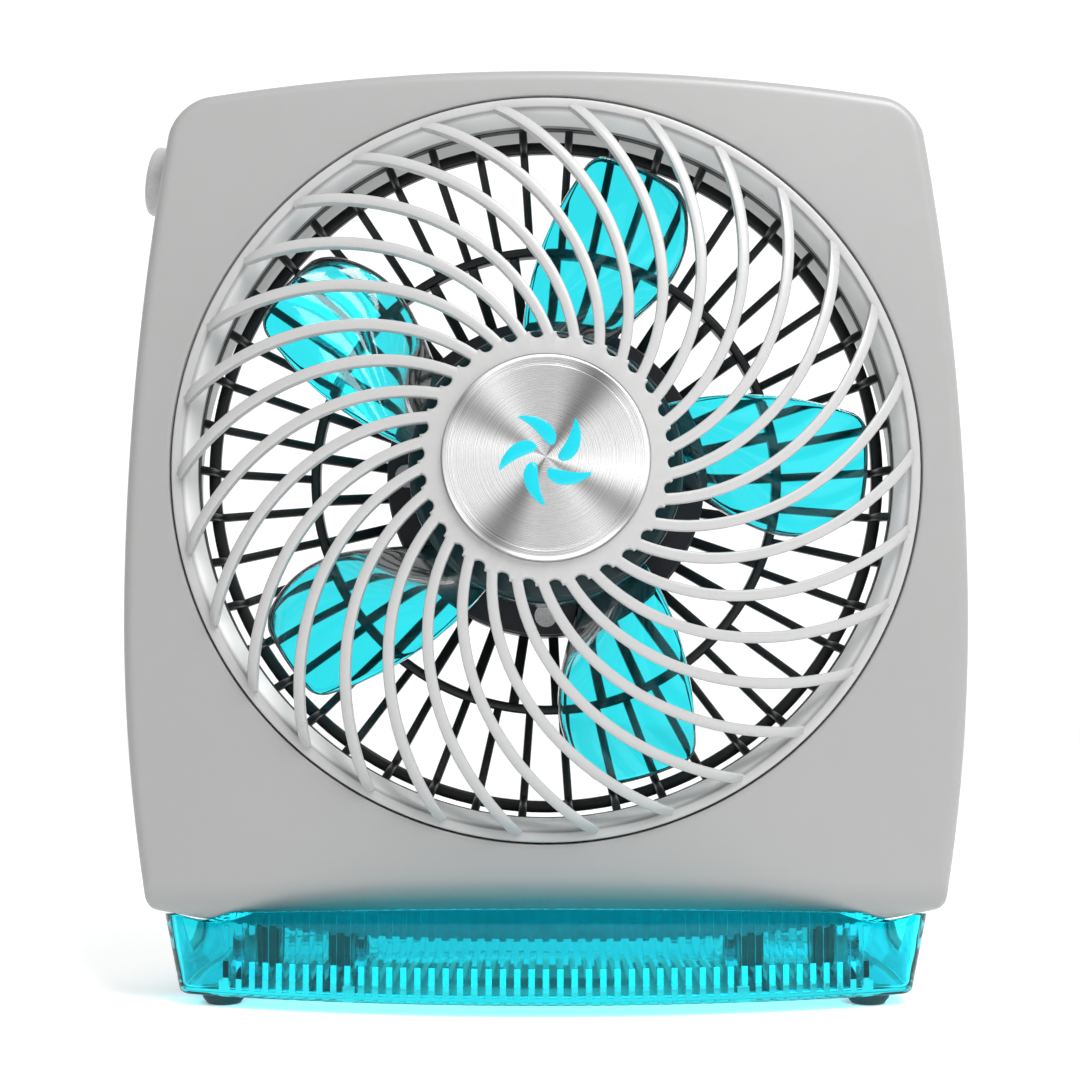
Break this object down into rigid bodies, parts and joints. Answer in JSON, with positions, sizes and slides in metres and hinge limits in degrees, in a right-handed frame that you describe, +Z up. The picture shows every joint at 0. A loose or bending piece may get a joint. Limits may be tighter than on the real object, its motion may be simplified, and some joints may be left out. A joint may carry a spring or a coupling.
{
  "type": "box fan",
  "caption": "Compact box fan: domed swirl grille and clear impeller in a square head with bulged sides, tilting on pins in a clear tray base.",
  "frame": {"origin": "on the surface it stands on, under the middle of the whole fan's box", "axes": "+Z up, -Y out of the front grille, +X to the right seen from the front"},
  "size_m": [0.17, 0.088, 0.19],
  "materials": {
    "grey_plastic": "satin warm grey moulded plastic",
    "light_grey_plastic": "satin light grey moulded plastic",
    "black_plastic": "fine textured black plastic",
    "clear_teal": "see-through tinted glossy plastic",
    "dark_rubber": "matt rubber",
    "spun_metal": "spun, with fine turning lines",
    "plated_steel": "zinc plated",
    "core_steel": "stacked sheet edges",
    "copper_wire": "enamelled copper winding",
    "bearing_bronze": "oiled sintered bronze",
    "natural_nylon": "plain nylon"
  },
  "bodies": {
    "base": {"base_tray": "clear_teal", "foot_pads": "dark_rubber", "hinge_pins": "plated_steel", "friction_washers": "natural_nylon"},
    "head": {"front_housing": "grey_plastic", "rear_housing": "grey_plastic", "front_grille": "light_grey_plastic", "hub_badge": "spun_metal", "rear_grille": "black_plastic", "motor_cover": "black_plastic", "front_bearing_plate": "plated_steel", "stator_core": "core_steel", "stator_coils": "copper_wire", "front_bearing": "bearing_bronze", "rear_bearing": "bearing_bronze", "motor_screws": "plated_steel", "cover_screws": "plated_steel", "grille_screws": "plated_steel", "housing_screws": "plated_steel", "left_hinge_bracket": "black_plastic", "right_hinge_bracket": "black_plastic", "bracket_screws": "plated_steel", "cord_inlet": "black_plastic", "push_switch": "black_plastic", "switch_screws": "plated_steel", "button_bezel": "grey_plastic"},
    "rotor": {"impeller": "clear_teal", "motor_shaft": "plated_steel", "rotor_core": "core_steel", "impeller_nut": "plated_steel", "shaft_clip": "plated_steel"},
    "button": {"speed_button": "light_grey_plastic"}
  },
  "joints": [
    {"name": "head_tilt", "type": "hinge", "parent": "base", "child": "head", "pos_m": [0, -0.004, 0.0087], "axis": [-1, 0, 0], "range_deg": [0, 20]},
    {"name": "fan_spin", "type": "hinge", "parent": "head", "child": "rotor", "pos_m": [0, -0.015, 0.1084], "axis": [0, -1, 0], "continuous": true},
    {"name": "button_press", "type": "slide", "parent": "head", "child": "button", "axis": [0.9887, 0, -0.1502], "range_m": [0, 0.0015], "stiffness_N_per_m": 500}
  ]
}
